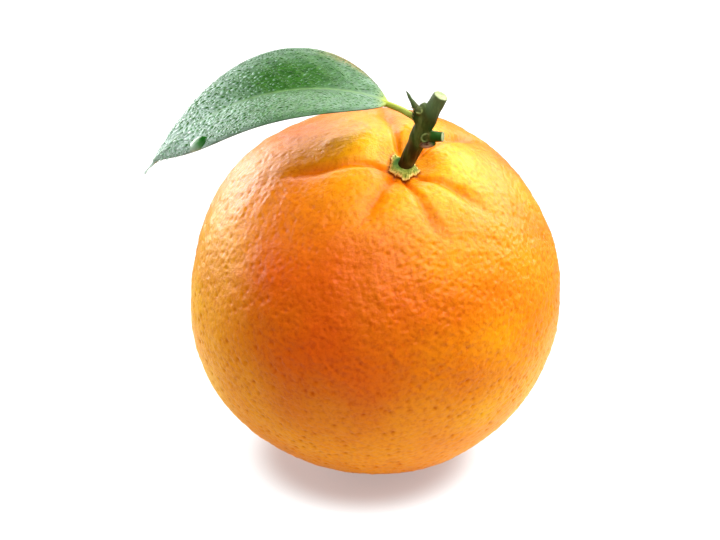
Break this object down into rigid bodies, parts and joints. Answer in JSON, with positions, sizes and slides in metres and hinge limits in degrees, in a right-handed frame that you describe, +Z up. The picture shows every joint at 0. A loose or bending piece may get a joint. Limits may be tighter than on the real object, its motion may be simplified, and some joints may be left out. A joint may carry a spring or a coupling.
{
  "type": "orange",
  "caption": "Ripe round orange with pitted peel and shallow furrows at the stem hollow, a green button, a short cut twig with a thorn, and one arched leaf folded along its midrib.",
  "frame": {"origin": "middle of the small flat spot that the fruit rests on", "axes": "+Z up through the fruit, -Y towards the viewer, the leaf reaches out towards -X"},
  "size_m": [0.0843, 0.076, 0.089],
  "materials": {
    "peel": "satin, finely pitted",
    "calyx": "dull, fibrous",
    "twig": "smooth green bark with pale cut faces",
    "leaf": "waxy, covered in fine dew"
  },
  "bodies": {
    "root": {"fruit": "peel", "calyx": "calyx", "stem": "twig", "leaf": "leaf"}
  },
  "joints": []
}
